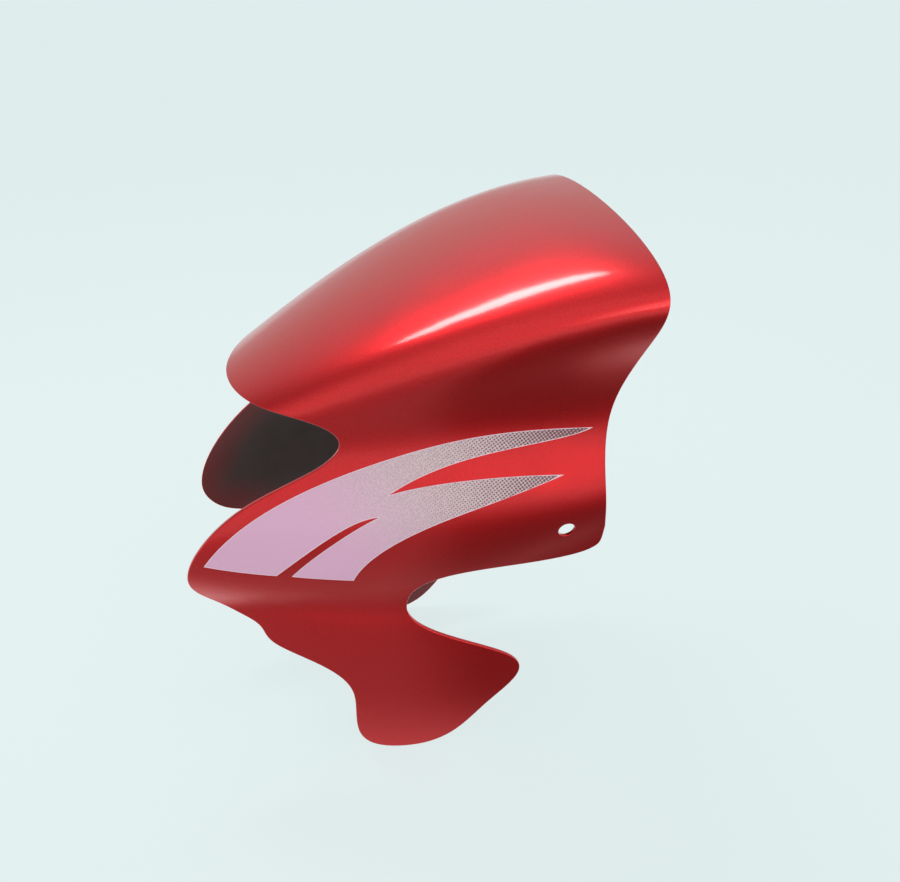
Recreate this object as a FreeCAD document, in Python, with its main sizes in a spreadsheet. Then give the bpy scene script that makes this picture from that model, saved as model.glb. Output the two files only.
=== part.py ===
import FreeCAD, Part
import os
import Sketcher

# Headlight visor of a motorbike: one moulded shell that arches over the headlight, with a leg on each side.
# Each leg has a prong in front, a tab with the fixing hole behind, a notch for the turn signal and a tail.
# A thin film with two tapering stripes, joined in the middle, lies on the outside of each leg.
# The front of the bike is -Y, its left side +X and up is +Z, in millimetres.
# The origin lies on the axis of the two fixing holes, midway between them.

# Sizes that stand alone
SINGLE_SIZES = {
    "wall": 2.5,
    "film": 0.2,
    "glue": 0.1,
    "hole_diameter": 10,
    "hem_z": -204,
    "trim_margin": 30,
}

# Control points of the outer skin's half sections, from the centre plane down to the hem.
# Each is a half width and a height; the crest lies on the centre plane, the deck is level with it,
# and the hem has one height along the whole visor.
POINTS = ("crest", "deck", "brow", "shoulder", "waist", "cheek", "tuck", "fold", "ridge", "hem")
STATIONS = {"rear": 42, "middle": -48, "lip": -138, "prong": -238}
HALF_WIDTHS = {
    "rear": (0, 51, 156, 111, 84, 107, 94, 90, 85, 74),
    "middle": (0, 58, 126, 114, 88, 113, 90, 82, 89, 75),
    "lip": (0, 35, 95, 83, 82, 100, 85, 78, 86, 70),
    "prong": (0, 19, 34, 45, 50, 60, 49, 35, 37, 43),
}
HEIGHTS = {
    "rear": (171, "crest", 162, 119, 68, 23, 5, -56, -115, "hem"),
    "middle": (152, "crest", 140, 107, 68, 13, -35, -64, -91, "hem"),
    "lip": (109, "crest", 101, 65, 48, 3, -44, -58, -71, "hem"),
    "prong": (46, "crest", 37, 16, -6, -35, -60, -71, -94, "hem"),
}

# Control points of the edges in side view: a place along the bike and a height.
# A name in place of a number takes that point's value, which keeps the end of a curve upright or level.
EDGE_POINTS = {
    "beak": (-219, 71),
    "upper_lip": (-164, 81),
    "corner_top": (-122, 68),
    "corner_low": (-133, 45),
    "lower_lip": (-197, 16),
    "tip_top": ("tip", -26),
    "tip": (-226, -40),
    "tip_low": ("tip", -57),
    "chin": (-174, -69),
    "tail_brow": (-192, -85),
    "tail_throat": (-108, -113),
    "tail_toe": (-141, "tail_base"),
    "tail_base": (-97, -181),
    "tail_heel": (-66, "tail_base"),
    "tail_back": (-46, -143),
    "tail_tip": (7, -106),
    "notch_floor": ("notch_end", -77),
    "notch_end": (-94, -58),
    "notch_roof": ("notch_end", -26),
    "tab_under": (-4, -30),
    "tab_corner": (25, -20),
    "tab_low": ("tab_back", -14),
    "tab_back": (25, -2),
    "leg_back": (19, 35),
    "waist_back": (22, 84),
    "shoulder_back": (38, 127),
    "crest_back": (37, 176),
}
FRONT_EDGE = (
    ("beak", "upper_lip", "corner_top", "corner_low", "lower_lip", "tip_top", "tip"),
    ("tip", "tip_low", "chin", "tail_brow", "tail_throat", "tail_toe", "tail_base"),
)
REAR_EDGE = (
    ("tail_base", "tail_heel", "tail_back", "tail_tip", "notch_floor", "notch_end"),
    ("notch_end", "notch_roof", "tab_under", "tab_corner", "tab_low", "tab_back"),
    ("tab_back", "leg_back", "waist_back", "shoulder_back", "crest_back"),
)

# Control points of the film's outline in side view: a place along the bike and a height.
# The outline runs over the top to the upper point, in to the fork, out to the lower point, underneath to the
# heel, across the foot, up one side of the slit and down the other, and back to the toe.
FILM_POINTS = {
    "toe": (-214, -25),
    "rise": (-189, 15),
    "arch": (-92, 62),
    "run": (-34, 68),
    "upper_point": (13, 64),
    "upper_under": (-8, 55),
    "fork_roof": (-62, 60),
    "fork": (-104, 31),
    "fork_floor": (-80, 39),
    "lower_run": (-38, 41),
    "lower_point": (-4, 38),
    "lower_under": (-40, 26),
    "heel_arch": (-87, 14),
    "heel_drop": (-120, -12),
    "heel": (-126, -29),
    "slit_back": (-162, -26),
    "slit_rise": (-151, -11),
    "slit_run": (-128, 9),
    "slit_tip": (-110, 18),
    "slit_brow": (-126, 17),
    "slit_drop": (-149, -3),
    "slit_front": (-171, -26),
}
FILM_CURVES = (
    ("toe", "rise", "arch", "run", "upper_point"),
    ("upper_point", "upper_under", "fork_roof", "fork"),
    ("fork", "fork_floor", "lower_run", "lower_point"),
    ("lower_point", "lower_under", "heel_arch", "heel_drop", "heel"),
    ("slit_back", "slit_rise", "slit_run", "slit_tip"),
    ("slit_tip", "slit_brow", "slit_drop", "slit_front"),
)
FILM_FEET = (("heel", "slit_back"), ("slit_front", "toe"))

doc = FreeCAD.newDocument("HeadlightVisor")
sheet = doc.addObject("Spreadsheet::Sheet", "Sizes")


# The sheet of sizes

def list_sizes():
    """Every driving size with its alias; a shared value is listed once, at the point that owns it."""
    yield from SINGLE_SIZES.items()
    for section, station in STATIONS.items():
        yield f"{section}_station", station
        for point, half_width, height in zip(POINTS, HALF_WIDTHS[section], HEIGHTS[section]):
            if point != "crest":
                yield f"{section}_{point}_x", half_width
            if not isinstance(height, str):
                yield f"{section}_{point}_z", height
    for point, place in EDGE_POINTS.items():
        for axis, value in zip("yz", place):
            if not isinstance(value, str):
                yield f"{point}_{axis}", value
    for point, place in FILM_POINTS.items():
        for axis, value in zip("yz", place):
            yield f"film_{point}_{axis}", value


for row, (alias, value) in enumerate(list_sizes(), start=1):
    sheet.set(f"A{row}", alias)
    sheet.set(f"B{row}", str(value))
    sheet.setAlias(f"B{row}", alias)
doc.recompute()


# Control points, each as a pair of expressions in the sheet's sizes

def section_point(section, point):
    """A control point of a half section: half width and height."""
    across = "0" if point == "crest" else f"Sizes.{section}_{point}_x"
    heights = {"deck": f"{section}_crest", "hem": "hem"}
    return across, f"Sizes.{heights.get(point, f'{section}_{point}')}_z"


def edge_point(point):
    """A control point of the visor's edges: place along the bike and height."""
    owners = [value if isinstance(value, str) else point for value in EDGE_POINTS[point]]
    return f"Sizes.{owners[0]}_y", f"Sizes.{owners[1]}_z"


def film_point(point):
    """A control point of the film's outline: place along the bike and height."""
    return f"Sizes.film_{point}_y", f"Sizes.film_{point}_z"


def heading(start, end):
    """The direction of a leg of a control polygon."""
    return f"atan2({end[1]} - ({start[1]}); {end[0]} - ({start[0]}))"


def moved_in(points, depth):
    """The control points of a half section, with every leg of their polygon moved inwards by depth."""
    legs = [heading(start, end) for start, end in zip(points, points[1:])]
    level = "0 deg"
    moved = []
    for (across, up), before, after in zip(points, [level] + legs, legs + legs[-1:]):
        reach = f"({depth}) / cos(({before} - {after}) / 2)"
        turn = f"({before} + {after}) / 2"
        moved.append((f"{across} + ({reach}) * sin({turn})", f"{up} - ({reach}) * cos({turn})"))
    moved[0] = ("0", moved[0][1])
    return moved


# Sketches

def new_sketch(body, plane_role, label):
    """An empty sketch on one of the body's own planes."""
    sketch = body.newObject("Sketcher::SketchObject", label)
    plane = next(item for item in body.Origin.OriginFeatures if item.Role == plane_role)
    sketch.AttachmentSupport = [(plane, "")]
    sketch.MapMode = "FlatFace"
    return sketch


def vector(sketch, point):
    """The place that a point's expressions give now."""
    return FreeCAD.Vector(*(float(sketch.evalExpression(expression)) for expression in point))


def dimension(sketch, geometry, position, point):
    """Ties a point of a sketch to its expressions, measured from the sketch's origin."""
    for kind, axis, expression in (("DistanceX", -2, point[0]), ("DistanceY", -1, point[1])):
        if expression == "0":
            sketch.addConstraint(Sketcher.Constraint("PointOnObject", geometry, position, axis))
        else:
            value = float(sketch.evalExpression(expression))
            row = sketch.addConstraint(Sketcher.Constraint(kind, -1, 1, geometry, position, value))
            sketch.setExpression(f"Constraints[{row}]", expression)


def add_curve(sketch, points):
    """A cubic curve with dimensioned control points."""
    poles = [vector(sketch, point) for point in points]
    upright = FreeCAD.Vector(0, 0, 1)
    handles = [sketch.addGeometry(Part.Circle(pole, upright, 1), True) for pole in poles]
    curve = sketch.addGeometry(Part.BSplineCurve(poles, None, None, False, 3, None, False), False)
    sketch.addConstraint(Sketcher.Constraint("Weight", handles[0], 1.0))
    alignment = "InternalAlignment:Sketcher::BSplineControlPoint"
    for index, (handle, point) in enumerate(zip(handles, points)):
        if index:
            sketch.addConstraint(Sketcher.Constraint("Equal", handles[0], handle))
        sketch.addConstraint(Sketcher.Constraint(alignment, handle, 3, curve, index))
        dimension(sketch, handle, 3, point)


def add_lines(sketch, points):
    """Straight lines through dimensioned points."""
    for start, end in zip(points, points[1:]):
        line = sketch.addGeometry(Part.LineSegment(vector(sketch, start), vector(sketch, end)), False)
        dimension(sketch, line, 1, start)
        dimension(sketch, line, 2, end)


# Features of a body

def half_layer(body, outer_depth, inner_depth):
    """Lofts the layer between two depths below the outer skin, on the left side."""
    sketches = []
    for section in STATIONS:
        sketch = new_sketch(body, "XZ_Plane", f"{section}_section")
        sketch.setExpression("AttachmentOffset.Base.z", f"-Sizes.{section}_station")
        skin = [section_point(section, point) for point in POINTS]
        outer = moved_in(skin, outer_depth)
        inner = moved_in(skin, inner_depth)
        add_curve(sketch, outer)
        add_lines(sketch, (outer[-1], inner[-1]))
        add_curve(sketch, inner)
        add_lines(sketch, (inner[0], outer[0]))
        sketches.append(sketch)
    layer = body.newObject("PartDesign::AdditiveLoft", "layer")
    layer.Profile = sketches[0]
    layer.Sections = sketches[1:]
    doc.recompute()


def cut_through(body, sketch, label):
    """Cuts a side view outline out of the left side, across the bike."""
    doc.recompute()
    area_before = body.Shape.Area
    pocket = body.newObject("PartDesign::Pocket", label)
    pocket.Profile = sketch
    pocket.Type = "ThroughAll"
    pocket.Reversed = True
    doc.recompute()
    if body.Shape.Area >= area_before:
        raise RuntimeError(f"{label} cuts nothing")


def trim(body, label, edges, corners):
    """Cuts away what lies outside a run of edge curves, closed by straight lines clear of the shell."""
    sketch = new_sketch(body, "YZ_Plane", f"{label}_outline")
    for edge in edges:
        add_curve(sketch, [edge_point(point) for point in edge])
    start = edge_point(edges[0][0])
    end = edge_point(edges[-1][-1])
    add_lines(sketch, (end, *corners, start))
    cut_through(body, sketch, label)


def drill(body, label, diameter):
    """Cuts a round hole on the fixing axis."""
    sketch = new_sketch(body, "YZ_Plane", f"{label}_outline")
    radius = float(sketch.evalExpression(f"{diameter} / 2"))
    circle = sketch.addGeometry(Part.Circle(FreeCAD.Vector(), FreeCAD.Vector(0, 0, 1), radius), False)
    sketch.addConstraint(Sketcher.Constraint("Coincident", circle, 3, -1, 1))
    row = sketch.addConstraint(Sketcher.Constraint("Diameter", circle, 2 * radius))
    sketch.setExpression(f"Constraints[{row}]", diameter)
    cut_through(body, sketch, label)


def mirror_half(body, label):
    """Adds the right side."""
    mirrored = body.newObject("PartDesign::Mirrored", label)
    mirrored.TransformMode = "Whole shape"
    plane = next(item for item in body.Origin.OriginFeatures if item.Role == "YZ_Plane")
    mirrored.MirrorPlane = (plane, [""])
    body.Tip = mirrored
    doc.recompute()


# The shell

FRONT = "Sizes.prong_station - Sizes.trim_margin"
BACK = "Sizes.rear_station + Sizes.trim_margin"
TOP = "Sizes.rear_crest_z + Sizes.trim_margin"
BOTTOM = "Sizes.hem_z - Sizes.trim_margin"
TAIL = "Sizes.tail_base_y"

visor = doc.addObject("PartDesign::Body", "headlight_visor")
half_layer(visor, "0", "Sizes.wall")
trim(visor, "front_trim", FRONT_EDGE, ((TAIL, BOTTOM), (FRONT, BOTTOM), (FRONT, "Sizes.beak_z")))
behind = (("Sizes.crest_back_y", TOP), (BACK, TOP), (BACK, BOTTOM), (TAIL, BOTTOM))
trim(visor, "rear_trim", REAR_EDGE, behind)
drill(visor, "fixing_hole", "Sizes.hole_diameter")
mirror_half(visor, "right_side")


# The stripes: a film glued to the outer skin, cut to one outline on each side

film = doc.addObject("PartDesign::Body", "film")
half_layer(film, "-Sizes.glue - Sizes.film", "-Sizes.glue")

outline = doc.addObject("Sketcher::SketchObject", "film_outline")
outline.Placement = FreeCAD.Placement(FreeCAD.Vector(), FreeCAD.Rotation(FreeCAD.Vector(1, 1, 1), 120))
for curve in FILM_CURVES:
    add_curve(outline, [film_point(point) for point in curve])
for foot in FILM_FEET:
    add_lines(outline, [film_point(point) for point in foot])

block = doc.addObject("Part::Extrusion", "film_block")
block.Base = outline
block.DirMode = "Normal"
block.Solid = True
block.setExpression("LengthFwd", "Sizes.rear_brow_x + Sizes.trim_margin")

left_film = doc.addObject("Part::Common", "left_stripe_film")
left_film.Base = film
left_film.Tool = block
right_film = doc.addObject("Part::Mirroring", "right_stripe_film")
right_film.Source = left_film
right_film.Normal = FreeCAD.Vector(1, 0, 0)
pieces = (visor, left_film, right_film)
doc.recompute()


# Checks, then one file for each piece

for item in doc.Objects:
    if "Invalid" in item.State or "Error" in item.State:
        raise RuntimeError(f"{item.Label} failed: {item.State}")
for piece in pieces:
    if piece.Shape.isNull() or not piece.Shape.isValid() or len(piece.Shape.Solids) != 1:
        raise RuntimeError(f"{piece.Label} is not one valid solid")

os.makedirs("parts", exist_ok=True)
for piece in pieces:
    piece.Shape.exportStep(f"parts/{piece.Label}.step")
    print(piece.Label, round(piece.Shape.Area), "mm2")
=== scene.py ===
# %% [markdown]
# # A headlight visor
# The visor is one moulded shell of a small motorbike: a dome over the headlight and a leg on each side.
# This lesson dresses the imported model: it rounds the rims, paints the shell and prints the stripes.
# Everything is in metres. The front of the bike is -Y, its left side +X and up is +Z.

# %% Load the model
from math import pi, radians

import bmesh
import bpy
import numpy as np
from mathutils import Matrix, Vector
from mathutils.kdtree import KDTree


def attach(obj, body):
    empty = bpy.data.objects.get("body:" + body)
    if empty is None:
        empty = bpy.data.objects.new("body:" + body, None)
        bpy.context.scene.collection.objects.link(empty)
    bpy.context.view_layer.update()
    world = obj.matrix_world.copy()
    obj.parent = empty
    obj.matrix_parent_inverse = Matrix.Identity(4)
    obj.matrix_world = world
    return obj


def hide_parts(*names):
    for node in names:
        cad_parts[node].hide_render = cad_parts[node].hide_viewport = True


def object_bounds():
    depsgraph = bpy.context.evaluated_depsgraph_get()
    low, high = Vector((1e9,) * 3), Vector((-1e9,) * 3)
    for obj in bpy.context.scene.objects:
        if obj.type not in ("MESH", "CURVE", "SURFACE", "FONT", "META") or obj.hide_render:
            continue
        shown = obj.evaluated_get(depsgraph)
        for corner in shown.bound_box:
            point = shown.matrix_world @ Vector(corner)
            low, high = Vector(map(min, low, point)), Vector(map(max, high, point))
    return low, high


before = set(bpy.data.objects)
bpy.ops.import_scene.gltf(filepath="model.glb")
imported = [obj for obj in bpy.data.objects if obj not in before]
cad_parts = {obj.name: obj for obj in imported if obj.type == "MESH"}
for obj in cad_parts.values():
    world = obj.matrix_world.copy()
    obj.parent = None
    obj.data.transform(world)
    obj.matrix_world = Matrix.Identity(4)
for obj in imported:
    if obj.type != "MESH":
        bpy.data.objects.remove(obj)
cad_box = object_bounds()
print("nodes:", sorted(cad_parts))

# %% [markdown]
# ## From loose triangles to one mesh
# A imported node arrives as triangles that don't share their corners along the edges of the CAD faces.
# A copy with its doubles merged is one closed mesh, which can be taken apart into skins and rims.
# Numpy arrays hold the copy from here on, because whole arrays are quicker to work on than single vertices.

# %% Copy a node into arrays
MERGE_DISTANCE = 1e-6
SHORTEST = 1e-12


def islands(triangles, corner_total):
    """A number for each triangle, the same for all triangles that hang together."""
    number = np.arange(corner_total)
    while True:
        lowest = number.copy()
        np.minimum.at(lowest, triangles, number[triangles].min(axis=1, keepdims=True).repeat(3, axis=1))
        lowest = lowest[lowest]
        if (lowest == number).all():
            return number[triangles[:, 0]]
        number = lowest


def merged_copy(node):
    """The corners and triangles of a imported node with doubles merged, and the CAD face of each triangle."""
    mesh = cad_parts[node].data
    loose = np.array([polygon.vertices[:] for polygon in mesh.polygons])
    _, cad_faces = np.unique(islands(loose, len(mesh.vertices)), return_inverse=True)
    work = bmesh.new()
    work.from_mesh(mesh)
    for face, cad_face in zip(work.faces, cad_faces):
        face.material_index = int(cad_face)
    bmesh.ops.remove_doubles(work, verts=work.verts, dist=MERGE_DISTANCE)
    work.verts.index_update()
    points = np.array([vertex.co[:] for vertex in work.verts])
    triangles = np.array([[vertex.index for vertex in face.verts] for face in work.faces])
    cad_faces = np.array([face.material_index for face in work.faces])
    work.free()
    return points, triangles, cad_faces


def unit(vectors):
    """The vectors at length one."""
    return vectors / np.maximum(np.linalg.norm(vectors, axis=-1, keepdims=True), SHORTEST)


def triangle_crosses(points, triangles):
    """A vector for each triangle, along its normal and as long as twice its area."""
    first, second, third = (points[triangles[:, corner]] for corner in range(3))
    return np.cross(second - first, third - first)


shell_points, shell_triangles, shell_faces = merged_copy("headlight_visor")
print("shell:", len(shell_points), "corners and", len(shell_triangles), "triangles on",
      shell_faces.max() + 1, "CAD faces")

# %% [markdown]
# ## Skins and rims
# The shell's outside and inside are two smooth skins. The narrow wall between them is the rim.
# Before they are merged, the triangles of one CAD face hang together and touch no others.
# Sorted by area, the outer skin's two halves come first, then the inner skin's, and all the rest is rim.

# %% Sort the triangles
OUTER, INNER, RIM = 0, 1, 2
SHELL_FACES_PER_SKIN = 2


def sort_skins(points, triangles, cad_faces, faces_per_skin):
    """For each triangle, whether it is on the outer skin, the inner skin or the rim."""
    areas = np.bincount(cad_faces, np.linalg.norm(triangle_crosses(points, triangles), axis=1))
    rank = np.argsort(np.argsort(-areas))
    return np.minimum(rank // faces_per_skin, RIM)[cad_faces]


def shared_edges(triangles):
    """For every edge that two triangles share, those two triangles and the edge's ends."""
    corners = np.concatenate([triangles[:, [0, 1]], triangles[:, [1, 2]], triangles[:, [2, 0]]])
    owners = np.tile(np.arange(len(triangles)), 3)
    ends = np.sort(corners, axis=1)
    order = np.lexsort((ends[:, 1], ends[:, 0]))
    ends, owners, corners = ends[order], owners[order], corners[order]
    twins = np.flatnonzero((ends[:-1] == ends[1:]).all(axis=1))
    return owners[twins], owners[twins + 1], corners[twins]


def rim_edges(triangles, kinds, skin):
    """The edges between a skin and the rim, as the skin's triangles run through them."""
    one, other, ends = shared_edges(triangles)
    forward = (kinds[one] == skin) & (kinds[other] == RIM)
    backward = (kinds[other] == skin) & (kinds[one] == RIM)
    return np.concatenate([ends[forward], ends[backward][:, ::-1]])


shell_kinds = sort_skins(shell_points, shell_triangles, shell_faces, SHELL_FACES_PER_SKIN)
print("triangles outside, inside and on the rim:", np.bincount(shell_kinds))

# %% [markdown]
# ## True normals
# Paint mirrors its surroundings, and a mirror shows every flaw of the shading normals.
# Averaging the triangles around a corner isn't good enough when they differ a lot in shape.
# Instead, a curved patch is fitted to the corners nearby, and its slope gives the normal.

# %% Fit the normals
PATCH_CORNERS = 28
PATCH_STIFFNESS = 1e-4
STEEP = 0.8


def rough_normals(points, triangles):
    """Normals at the corners, averaged over the triangles by area."""
    normals = np.zeros_like(points)
    crosses = triangle_crosses(points, triangles)
    for corner in range(3):
        np.add.at(normals, triangles[:, corner], crosses)
    return unit(normals)


def nearest(points, targets, count):
    """For each target, the numbers of the nearest points."""
    tree = KDTree(len(points))
    for number, point in enumerate(points):
        tree.insert(point, number)
    tree.balance()
    return np.array([[found[1] for found in tree.find_n(target, count)] for target in targets])


def fitted_normals(points, rough):
    """Normals of a smooth skin, from a quadratic patch around each corner."""
    near = nearest(points, points, PATCH_CORNERS)
    away = points[near] - points[:, None]
    helper = np.where(np.abs(rough[:, 2:]) < STEEP, (0.0, 0.0, 1.0), (1.0, 0.0, 0.0))
    across = unit(np.cross(rough, helper))
    along = np.cross(rough, across)
    reach = np.abs(away).max(axis=(1, 2))[:, None]
    u = (away * across[:, None]).sum(axis=2) / reach
    v = (away * along[:, None]).sum(axis=2) / reach
    height = (away * rough[:, None]).sum(axis=2) / reach
    terms = np.stack([u, v, u * u, u * v, v * v], axis=2)
    square = np.einsum("nki,nkj->nij", terms, terms) + PATCH_STIFFNESS * np.eye(terms.shape[2])
    slopes = np.linalg.solve(square, np.einsum("nki,nk->ni", terms, height)[..., None])[..., 0]
    return unit(rough - slopes[:, :1] * across - slopes[:, 1:2] * along)


def skin_normals(points, triangles):
    """Fitted normals at the corners that the triangles use, and rows of zeros elsewhere."""
    used = np.unique(triangles)
    normals = np.zeros_like(points)
    normals[used] = fitted_normals(points[used], rough_normals(points, triangles)[used])
    return normals


outer_normals = skin_normals(shell_points, shell_triangles[shell_kinds == OUTER])
inner_normals = skin_normals(shell_points, shell_triangles[shell_kinds == INNER])
rim_normals = rough_normals(shell_points, shell_triangles[shell_kinds == RIM])
print("fitted normals:", int((np.abs(outer_normals).sum(axis=1) > 0).sum()), "outside")

# %% [markdown]
# ## Rounded rims
# A mould leaves no knife edge, so both sides of the rim are rounded.
# A bevel tool would stumble over the many small triangles, so the round is built here.
# The skin ends a little before the rim, the rim's wall starts a little deeper, and an arc joins the two.

# %% Round the rim
OUTER_ROUND = 0.0009
INNER_ROUND = 0.0005
ROUND_STEPS = 4
PULL_BACK_REACH = 0.006


def sideways(vectors, normals):
    """The part of each vector that is square to a normal, at length one."""
    return unit(vectors - (vectors * normals).sum(axis=1, keepdims=True) * normals)


def pull_back(points, skin_corners, rim_corners, towards_rim, radius):
    """Shifts a skin away from the rim: by the radius at the rim, fading out further in."""
    closest = nearest(points[rim_corners], points[skin_corners], 1)[:, 0]
    gap = np.linalg.norm(points[skin_corners] - points[rim_corners[closest]], axis=1)
    share = np.clip(1 - gap / PULL_BACK_REACH, 0, 1)[:, None]
    return points[skin_corners] - radius * share * towards_rim[closest]


def local_numbers(corners, faces):
    """The faces with each corner's place in the list of corners in its stead."""
    return np.searchsorted(corners, faces)


wall_points = shell_points.copy()
stretches = []
for skin, normals, radius in ((OUTER, outer_normals, OUTER_ROUND), (INNER, inner_normals, INNER_ROUND)):
    edges = rim_edges(shell_triangles, shell_kinds, skin)
    rim_corners = np.unique(edges)
    skin_triangles = shell_triangles[shell_kinds == skin]
    skin_corners = np.unique(skin_triangles)
    up, out = normals[rim_corners], rim_normals[rim_corners]
    towards_rim = sideways(out, up)
    pulled = pull_back(shell_points, skin_corners, rim_corners, towards_rim, radius)
    stretches.append((pulled, normals[skin_corners], local_numbers(skin_corners, skin_triangles), skin))

    corner = shell_points[rim_corners]
    on_skin = corner - radius * towards_rim
    on_wall = corner - radius * sideways(up, out)
    shares = np.linspace(0, 1, ROUND_STEPS + 1)
    arcs = [(1 - t) ** 2 * on_skin + 2 * t * (1 - t) * corner + t**2 * on_wall for t in shares]
    ways = [unit((1 - t) * up + t * out) for t in shares]
    start, end = local_numbers(rim_corners, edges).T
    ladder = []
    for step in range(ROUND_STEPS):
        here, there = step * len(rim_corners), (step + 1) * len(rim_corners)
        ladder.append(np.stack([end + here, start + here, start + there], axis=1))
        ladder.append(np.stack([end + here, start + there, end + there], axis=1))
    stretches.append((np.concatenate(arcs), np.concatenate(ways), np.concatenate(ladder), RIM))
    wall_points[rim_corners] = on_wall

wall_triangles = shell_triangles[shell_kinds == RIM]
wall_corners = np.unique(wall_triangles)
wall_numbers = local_numbers(wall_corners, wall_triangles)
stretches.append((wall_points[wall_corners], rim_normals[wall_corners], wall_numbers, RIM))
print("stretches:", [len(triangles) for _, _, triangles, _ in stretches], "triangles")

# %% [markdown]
# ## One closed piece
# The stretches meet corner to corner, so welding equal corners closes the shell.
# A normal is kept for each corner of each triangle, so a welded corner can still be a crisp edge.

# %% Make the shell's object
WELD_DIGITS = 7
RIM_DISTANCE = "rim_distance"


def new_piece(name, points, triangles, normals):
    """A welded mesh at the origin. The normals are given for each corner of each triangle."""
    _, first, number = np.unique(points.round(WELD_DIGITS), axis=0, return_index=True, return_inverse=True)
    welded = number.reshape(-1)[triangles]
    whole = (welded != np.roll(welded, 1, axis=1)).all(axis=1)
    mesh = bpy.data.meshes.new(name)
    mesh.from_pydata(points[first].tolist(), [], welded[whole].tolist())
    mesh.polygons.foreach_set("use_smooth", [True] * len(mesh.polygons))
    mesh.normals_split_custom_set(normals[whole].reshape(-1, 3).tolist())
    piece = bpy.data.objects.new(name, mesh)
    bpy.context.scene.collection.objects.link(piece)
    return piece, whole


def corners_of(piece):
    """The corners of a piece as an array."""
    return np.array([vertex.co[:] for vertex in piece.data.vertices])


def open_edges(piece):
    """How many edges of a piece don't join exactly two triangles."""
    triangles = np.array([polygon.vertices[:] for polygon in piece.data.polygons])
    ends = np.sort(np.concatenate([triangles[:, [0, 1]], triangles[:, [1, 2]], triangles[:, [2, 0]]]), axis=1)
    _, uses = np.unique(ends, axis=0, return_counts=True)
    return int((uses != 2).sum())


def store_distance(piece, attribute, line):
    """Keeps at each corner of a piece how far it lies from the nearest point of a line."""
    corners = corners_of(piece)
    gaps = np.linalg.norm(corners - line[nearest(line, corners, 1)[:, 0]], axis=1)
    layer = piece.data.attributes.new(attribute, "FLOAT", "POINT")
    layer.data.foreach_set("value", gaps.astype(np.float32))


offsets = np.cumsum([0] + [len(points) for points, _, _, _ in stretches])
all_points = np.concatenate([points for points, _, _, _ in stretches])
all_normals = np.concatenate([normals for _, normals, _, _ in stretches])
all_triangles = np.concatenate([stretch[2] + offset for stretch, offset in zip(stretches, offsets)])
all_kinds = np.concatenate([[kind] * len(triangles) for _, _, triangles, kind in stretches])
shell_piece, kept = new_piece("painted_shell", all_points, all_triangles, all_normals[all_triangles])
piece_kinds = all_kinds[kept]
inner_rim = np.unique(rim_edges(shell_triangles, shell_kinds, INNER))
store_distance(shell_piece, RIM_DISTANCE, shell_points[inner_rim])
print("painted_shell:", len(piece_kinds), "triangles,", open_edges(shell_piece), "open edges")

# %% [markdown]
# ## Writing materials as formulas
# A material is a tree of nodes. Wiring them by hand hides the idea behind them.
# The class below wraps an output socket, so that a formula such as 1 - mask adds its own Math nodes.
# A second small class starts a material and adds every other node that it needs.

# %% Sockets that calculate
def pick(sockets, key):
    """A socket by its number, or by its name among those in use."""
    if isinstance(key, int):
        return sockets[key]
    return next(socket for socket in sockets if socket.name == key and socket.enabled)


class Signal:
    """An output socket whose operators add Math nodes."""

    def __init__(self, tree, socket):
        self.tree = tree
        self.socket = socket

    def node(self, kind, settings=None, inputs=None, output=0):
        """Adds any node: its settings first, then the values or links of its sockets."""
        return add_node(self.tree, kind, settings, inputs, output)

    def math(self, operation, *terms):
        """A Math node on the given terms."""
        return self.node("ShaderNodeMath", {"operation": operation}, dict(enumerate(terms)))

    def __add__(self, other):
        return self.math("ADD", self, other)

    def __sub__(self, other):
        return self.math("SUBTRACT", self, other)

    def __rsub__(self, other):
        return self.math("SUBTRACT", other, self)

    def __mul__(self, other):
        return self.math("MULTIPLY", self, other)

    def __truediv__(self, other):
        return self.math("DIVIDE", self, other)

    def __lt__(self, other):
        return self.math("LESS_THAN", self, other)

    __radd__ = __add__
    __rmul__ = __mul__

    def or_more(self, other):
        """The larger of two values."""
        return self.math("MAXIMUM", self, other)

    def ramp(self, start, end):
        """Runs smoothly from 0 to 1 between two values."""
        inputs = {"Value": self, "From Min": start, "From Max": end}
        return self.node("ShaderNodeMapRange", {"interpolation_type": "SMOOTHSTEP"}, inputs)

    def between(self, low, high):
        """A mix of colours: low where the signal is 0 and high where it is 1."""
        inputs = {"Factor": self, "A": low, "B": high}
        return self.node("ShaderNodeMix", {"data_type": "RGBA"}, inputs, "Result")


def add_node(tree, kind, settings=None, inputs=None, output=0):
    """A node of a tree, with its settings, its inputs and the output that is wanted, as a Signal."""
    made = tree.nodes.new(kind)
    for name, value in (settings or {}).items():
        setattr(made, name, value)
    for key, value in (inputs or {}).items():
        socket = pick(made.inputs, key)
        if isinstance(value, Signal):
            tree.links.new(value.socket, socket)
        else:
            socket.default_value = value
    return Signal(tree, pick(made.outputs, output))


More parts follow.
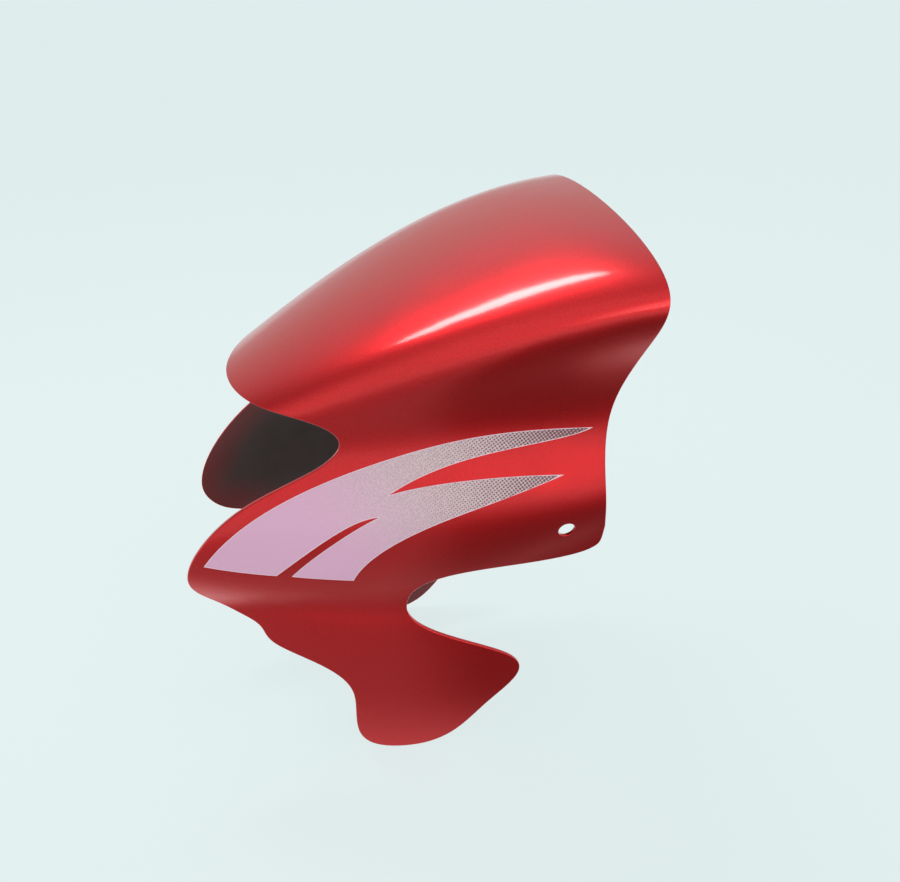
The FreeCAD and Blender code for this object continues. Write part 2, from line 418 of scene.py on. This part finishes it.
class Finish:
    """A material under construction, around its Principled shader."""

    def __init__(self, name, **constants):
        self.material = bpy.data.materials.new(name)
        self.material.use_nodes = True
        self.tree = self.material.node_tree
        self.shader = self.tree.nodes["Principled BSDF"]
        for socket, value in constants.items():
            self.feed(socket.replace("_", " "), value)

    def feed(self, socket, value):
        """Sets a constant on the shader's own socket, or links a Signal to it."""
        target = self.shader.inputs[socket]
        if isinstance(value, Signal):
            self.tree.links.new(value.socket, target)
        else:
            target.default_value = value

    def node(self, kind, settings=None, inputs=None, output=0):
        """Adds any node to this material."""
        return add_node(self.tree, kind, settings, inputs, output)

    def place(self):
        """The point on the piece, in metres."""
        return self.node("ShaderNodeTexCoord", output="Object")

    def axes(self):
        """The point's three coordinates, each as a Signal."""
        point = self.place()
        return [self.node("ShaderNodeSeparateXYZ", inputs={0: point}, output=axis) for axis in "XYZ"]

    def noise(self, scale, detail):
        """A cloudy pattern with so many cells to the metre."""
        inputs = {"Vector": self.place(), "Scale": scale, "Detail": detail}
        return self.node("ShaderNodeTexNoise", inputs=inputs)

    def attribute(self, name):
        """A number that the mesh keeps at its corners."""
        return self.node("ShaderNodeAttribute", {"attribute_name": name}, output="Fac")

    def bump(self, height, depth, strength):
        """Dents the shading by a height signal."""
        inputs = {"Height": height, "Distance": depth, "Strength": strength}
        self.feed("Normal", self.node("ShaderNodeBump", inputs=inputs))


def colour(red, green, blue):
    """A colour as a picture editor gives it, 0 to 255, turned into the linear light that shaders use."""
    shares = np.array([red, green, blue]) / 255
    linear = np.where(shares <= 0.04045, shares / 12.92, ((shares + 0.055) / 1.055) ** 2.4)  # sRGB curve
    return (*linear.tolist(), 1.0)


print("middle grey in linear light:", round(colour(128, 128, 128)[0], 3))

# %% [markdown]
# ## Red paint under clear coat
# Metallic paint is a coloured layer full of tiny flakes below a clear, hard varnish.
# The flakes throw light back mostly one way, so the red is deep where it turns away from the light.
# A mostly metallic base with a broad gloss stands for the flakes, and the coat gives the tighter reflections.
# Fine noise tells the flakes apart, and wide soft clouds are places where the paint lies a little thicker.

# %% Red paint
FLAKES_PER_METRE = 2600.0
CLOUDS_PER_METRE = 18.0
FLAKE_DEPTH = 0.00002
DARK_FLAKE = colour(214, 8, 16)
BRIGHT_FLAKE = colour(240, 18, 26)
THICK_RED = colour(190, 8, 16)
THICK_SHARE = 0.12

paint = Finish("candy_red", Metallic=0.85, IOR=1.5, Coat_Weight=0.8, Coat_Roughness=0.13, Coat_IOR=1.5)
flakes = paint.noise(FLAKES_PER_METRE, 0.0).ramp(0.38, 0.62)
cloud = paint.noise(CLOUDS_PER_METRE, 3.0).ramp(0.3, 0.7)
flaky_red = flakes.between(DARK_FLAKE, BRIGHT_FLAKE)
paint.feed("Base Color", (cloud * THICK_SHARE).between(flaky_red, THICK_RED))
paint.feed("Roughness", 0.31 + 0.06 * cloud)
paint.bump(flakes, FLAKE_DEPTH, 0.25)
print("made", paint.material.name)

# %% [markdown]
# ## The bare inside
# Nobody paints the inside. It is the dark plastic of the moulding, with a fine grain from the tool.
# Some red mist drifts round the rim while the outside is sprayed. The same red band is also painted light:
# it stands in for red light that the paint throws back onto the inside.
# The distance from the rim, kept at every corner of the mesh, fades that red out.

# %% Dark moulding
GRAINS_PER_METRE = 900.0
DRIFTS_PER_METRE = 70.0
GRAIN_DEPTH = 0.00006
MIST_REFLECTION_FULL, MIST_REFLECTION_REACH = 0.003, 0.034
MIST_REFLECTION_WANDER = 0.008
MIST_REFLECTION_SHARE = 0.8
DARK_PLASTIC = colour(60, 48, 45)
WORN_PLASTIC = colour(78, 64, 60)
RED_MIST_AND_REFLECTION = colour(128, 38, 40)

moulding = Finish("dark_moulding", IOR=1.5)
grain = moulding.noise(GRAINS_PER_METRE, 2.0)
drift = moulding.noise(DRIFTS_PER_METRE, 4.0)
# The red near the rim is partly spray mist and partly a painted reflection of the red paint.
mist_and_reflection = 1 - (moulding.attribute(RIM_DISTANCE) + MIST_REFLECTION_WANDER * drift).ramp(MIST_REFLECTION_FULL, MIST_REFLECTION_REACH)
plastic = drift.between(DARK_PLASTIC, WORN_PLASTIC)
moulding.feed("Base Color", (mist_and_reflection * MIST_REFLECTION_SHARE).between(plastic, RED_MIST_AND_REFLECTION))
moulding.feed("Roughness", 0.42 + 0.16 * grain)
moulding.bump(grain, GRAIN_DEPTH, 0.5)
print("made", moulding.material.name)

# %% Dress the shell
shell_piece.data.materials.append(paint.material)
shell_piece.data.materials.append(moulding.material)
shell_piece.data.polygons.foreach_set("material_index", [int(kind == INNER) for kind in piece_kinds])
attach(shell_piece, "root")
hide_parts("headlight_visor")
print("dressed", shell_piece.name)

# %% [markdown]
# ## Stripe films
# Each leg carries one printed film with two tapering stripes that are joined in the middle.
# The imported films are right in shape. A copy with smaller triangles can also hold, at every corner,
# how far it lies from the film's edge, which places a fine pale outline around the print.

# %% Film pieces
FILM_CUTS = 2
EDGE_SAMPLES = 10
EDGE_DISTANCE = "edge_distance"


def finer(points, normals, triangles, cuts):
    """Every triangle divided into smaller ones, with the normals at its corners carried along."""
    steps = cuts + 1
    grid = [(i, j) for i in range(steps + 1) for j in range(steps + 1 - i)]
    number = {place: row for row, place in enumerate(grid)}
    pattern = []
    for i, j in grid:
        if i + j < steps:
            pattern.append((number[i, j], number[i + 1, j], number[i, j + 1]))
        if i + j < steps - 1:
            pattern.append((number[i + 1, j], number[i + 1, j + 1], number[i, j + 1]))
    shares = np.array([(steps - i - j, i, j) for i, j in grid]) / steps
    fine_points = np.einsum("gc,tcx->tgx", shares, points[triangles]).reshape(-1, 3)
    fine_normals = unit(np.einsum("gc,tcx->tgx", shares, normals)).reshape(-1, 3)
    starts = np.arange(len(triangles))[:, None, None] * len(grid)
    fine_triangles = (starts + np.array(pattern)).reshape(-1, 3)
    return fine_points, fine_triangles, fine_normals[fine_triangles]


def film_piece(node):
    """A copy of a film with fine triangles, smooth normals and distances from its edge."""
    points, triangles, cad_faces = merged_copy(node)
    kinds = sort_skins(points, triangles, cad_faces, 1)
    normals = np.repeat(unit(triangle_crosses(points, triangles))[:, None], 3, axis=1)
    for skin in (OUTER, INNER):
        skin_triangles = triangles[kinds == skin]
        normals[kinds == skin] = skin_normals(points, skin_triangles)[skin_triangles]
    piece, _ = new_piece(f"printed_{node}", *finer(points, normals, triangles, FILM_CUTS))
    start, end = points[rim_edges(triangles, kinds, OUTER)].transpose(1, 0, 2)
    shares = np.linspace(0, 1, EDGE_SAMPLES)[:, None, None]
    store_distance(piece, EDGE_DISTANCE, ((1 - shares) * start + shares * end).reshape(-1, 3))
    return piece


film_pieces = {node: film_piece(node) for node in ("left_stripe_film", "right_stripe_film")}
for piece in film_pieces.values():
    print(piece.name, len(piece.data.polygons), "triangles,", open_edges(piece), "open edges")

# %% [markdown]
# ## The print on the film
# The print runs on a slant from plain lilac at the front to speckled silver grey at the back.
# There it breaks up into a halftone: rows of dark dots that grow to the rear.
# Dots could be modelled, but they have no thickness to speak of, so they are drawn in the material:
# a dot is where the distance from the middle of its own cell in a tilted square grid is small.

# %% Halftone dots
DOT_PITCH = 0.0017
DOT_TILT = radians(35)
DOT_LARGEST = 0.54
PRINT_FRONT = -0.21
PRINT_BACK = 0.01

film = Finish("printed_film", IOR=1.5, Coat_Weight=0.6, Coat_Roughness=0.08)
_, along, up = film.axes()
run = (along - PRINT_FRONT) / (PRINT_BACK - PRINT_FRONT)
first = (along * np.cos(DOT_TILT) + up * np.sin(DOT_TILT)) / DOT_PITCH
second = (up * np.cos(DOT_TILT) - along * np.sin(DOT_TILT)) / DOT_PITCH
aside = first.math("FRACT", first) - 0.5
above = second.math("FRACT", second) - 0.5
from_middle = aside.math("SQRT", aside * aside + above * above)
dots = from_middle < DOT_LARGEST * run.ramp(0.38, 1.06)
print("dots every", DOT_PITCH * 1000, "mm")

# %% Printed film
LILAC = colour(232, 178, 208)
SILVER = colour(222, 198, 198)
SPECK = colour(176, 140, 154)
DARK_DOT = colour(120, 66, 74)
PALE_EDGE = colour(240, 212, 222)
EDGE_WIDTH = 0.0006
SILVER_SLOPE = 0.7
SILVER_START, SILVER_FULL = -0.15, -0.03
SPECKS_PER_METRE = 1100.0
SPECK_DEPTH = 0.00002

silver = (along + SILVER_SLOPE * up).ramp(SILVER_START, SILVER_FULL)
lilac_to_silver = silver.between(LILAC, SILVER)
speckle = film.noise(SPECKS_PER_METRE, 1.0).ramp(0.4, 0.6)
ground = (speckle * (0.06 + 0.48 * silver)).between(lilac_to_silver, SPECK)
printed = dots.between(ground, DARK_DOT)
edge = film.attribute(EDGE_DISTANCE) < EDGE_WIDTH
film.feed("Base Color", edge.between(printed, PALE_EDGE))
film.feed("Roughness", 0.3 + 0.12 * speckle)
film.bump(speckle, SPECK_DEPTH, 0.2)

for node, piece in film_pieces.items():
    piece.data.materials.append(film.material)
    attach(piece, "root")
    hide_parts(node)
print("made", film.material.name)

# %% [markdown]
# ## Floor and light
# The visor stands on a wide pale floor, which looks the same to the eye and in the paint.
# Part of the floor's own light is mixed out, so that the visor's shadow stays on it.
# A photographer lays a dark card beside shiny paint to keep its reflections deep.
# Here such a card, hidden from the camera, lies below the turned-under leg and fades out all round.

# %% Floor
FLOOR_HALF = 30.0
FLOOR_GAP = 0.0005
FLOOR_COLOUR = colour(226, 239, 239)
FLOOR_GLOW = colour(230, 243, 243)
SHADOW_SHARE = 0.15
RAYS = ("Camera", "Glossy", "Transmission")

lowest_corner, _ = cad_box
floor_height = lowest_corner[2] - FLOOR_GAP


def flat_sheet(name, low, high, height, finish):
    """A level rectangle of the stage."""
    (left, front), (right, back) = low, high
    border = ((left, front), (right, front), (right, back), (left, back))
    corners = np.array([(x, y, height) for x, y in border])
    triangles = np.array([(0, 1, 2), (0, 2, 3)])
    sheet, _ = new_piece(name, corners, triangles, np.tile((0.0, 0.0, 1.0), (2, 3, 1)))
    sheet.data.materials.append(finish.material)
    return sheet


floor_finish = Finish("pale_floor", Roughness=0.9, Base_Color=FLOOR_COLOUR, Specular_IOR_Level=0.1)
straight, mirrored, through = (
    floor_finish.node("ShaderNodeLightPath", output=f"Is {ray} Ray") for ray in RAYS
)
seen = straight.or_more(mirrored).or_more(through)
glow = floor_finish.node("ShaderNodeEmission", inputs={"Color": FLOOR_GLOW, "Strength": 1.0})
tree = floor_finish.tree
lit = Signal(tree, floor_finish.shader.outputs["BSDF"])
own_light = seen * (1 - SHADOW_SHARE)
surface = floor_finish.node("ShaderNodeMixShader", inputs={0: own_light, 1: lit, 2: glow})
tree.links.new(surface.socket, tree.nodes["Material Output"].inputs["Surface"])
flat_sheet("floor", (-FLOOR_HALF, -FLOOR_HALF), (FLOOR_HALF, FLOOR_HALF), floor_height, floor_finish)
print("floor at", round(floor_height, 4))

# %% Dark card
CARD_LOW, CARD_HIGH = (0.045, -1.0), (1.0, 0.95)
CARD_NEAR_FADE = 0.08
CARD_FAR_FADE = 0.7
CARD_DEPTH = 0.6
CARD_REAR_EXTRA = 0.27
CARD_REAR_START, CARD_REAR_FULL = -0.11, -0.02
CARD_COLOUR = colour(48, 44, 44)

card_finish = Finish("dark_card", Roughness=0.9, Base_Color=CARD_COLOUR)
across, along, _ = card_finish.axes()
depth = CARD_DEPTH + CARD_REAR_EXTRA * along.ramp(CARD_REAR_START, CARD_REAR_FULL)
for place, low, high in zip((across, along), CARD_LOW, CARD_HIGH):
    fade_out = 1 - place.ramp(high - CARD_FAR_FADE, high)
    depth = place.ramp(low, low + CARD_NEAR_FADE) * fade_out * depth
card_finish.feed("Alpha", depth)
card = flat_sheet("dark_card", CARD_LOW, CARD_HIGH, floor_height + FLOOR_GAP / 2, card_finish)
card.visible_camera = False
card.visible_shadow = False
card.visible_diffuse = False
print("card from", CARD_LOW, "to", CARD_HIGH)

# %% [markdown]
# ## Sky and lamp
# The sky is dim on the far side and in front, and brightest low on the near side, where it lights the leg.
# It could be built from large lamps, but their edges would show in the paint. A sky fades without edges.
# One long narrow lamp, high up on the far side, draws the bright streak along the shoulder.

# %% Sky
HORIZON = colour(188, 184, 181)
OVERHEAD = colour(186, 190, 194)
FRONT_SKY = colour(128, 130, 132)
FRONT_SHARE = 0.75
NEAR_SKY = colour(234, 235, 236)
GLOW = (2.4, 2.4, 2.4, 1.0)
GLOW_TO = (0.93, 0.35, 0.1)

world = bpy.data.worlds.new("soft_sky")
world.use_nodes = True
direction = add_node(world.node_tree, "ShaderNodeTexCoord", output="Generated")
nearward, rearward, upward = (
    add_node(world.node_tree, "ShaderNodeSeparateXYZ", inputs={0: direction}, output=axis) for axis in "XYZ"
)
dome = upward.ramp(0.28, 0.5).between(HORIZON, OVERHEAD)
ahead = (0 - rearward).ramp(0.45, 0.95) * FRONT_SHARE
far_sky = ahead.between(dome, FRONT_SKY)
near_sky = nearward.ramp(-0.1, 0.6).between(far_sky, NEAR_SKY)
towards_glow = GLOW_TO[0] * nearward + GLOW_TO[1] * rearward + GLOW_TO[2] * upward
sky_colour = towards_glow.ramp(0.85, 1.0).between(near_sky, GLOW)
world.node_tree.links.new(sky_colour.socket, world.node_tree.nodes["Background"].inputs["Color"])
bpy.context.scene.world = world
print("made", world.name)

# %% Streak lamp
SHOULDER = (0.1, -0.05, 0.14)
STREAK_START = (-0.36, -0.88, 1.07)
STREAK_END = (-0.62, 0.1, 1.2)
STREAK_WIDTH = 0.16
STREAK_WATTS = 7.0


def strip_lamp(name, start, end, width, target, power):
    """A long lamp from one place to another, turned about its length to face its target."""
    start, end, target = np.array(start), np.array(end), np.array(target)
    middle = (start + end) / 2
    along = unit(end - start)
    back = unit(middle - target - ((middle - target) @ along) * along)
    lamp = bpy.data.lights.new(name, "AREA")
    lamp.shape = "ELLIPSE"
    lamp.size, lamp.size_y = width, float(np.linalg.norm(end - start))
    lamp.energy = power
    thing = bpy.data.objects.new(name, lamp)
    turn = Matrix(np.array([np.cross(along, back), along, back]).T.tolist())
    thing.matrix_world = Matrix.Translation(middle.tolist()) @ turn.to_4x4()
    bpy.context.scene.collection.objects.link(thing)


strip_lamp("streak_lamp", STREAK_START, STREAK_END, STREAK_WIDTH, SHOULDER, STREAK_WATTS)
print("streak lamp from", STREAK_START, "to", STREAK_END)

# %% [markdown]
# ## Camera
# The picture was taken from close by, from the left side and above.
# The camera's place was worked out from the outline:
# where the crest, the beak, the hole and the tail fall in the frame.

# %% Camera
CAMERA_PLACE = (0.5564, -0.1418, 0.3048)
CAMERA_TURN = radians(81)
CAMERA_DOWN = radians(27.5)
LENS_MM = 38.0
SENSOR_MM = 36.0
NEAREST_SEEN = 0.01

lens = bpy.data.cameras.new("camera")
lens.lens = LENS_MM
lens.sensor_width = SENSOR_MM
lens.sensor_fit = "HORIZONTAL"
lens.clip_start = NEAREST_SEEN
camera = bpy.data.objects.new("camera", lens)
camera.location = CAMERA_PLACE
camera.rotation_euler = (pi / 2 - CAMERA_DOWN, 0, CAMERA_TURN)
bpy.context.scene.collection.objects.link(camera)
bpy.context.scene.camera = camera
bpy.context.scene.view_settings.view_transform = "Standard"
print("camera at", CAMERA_PLACE)
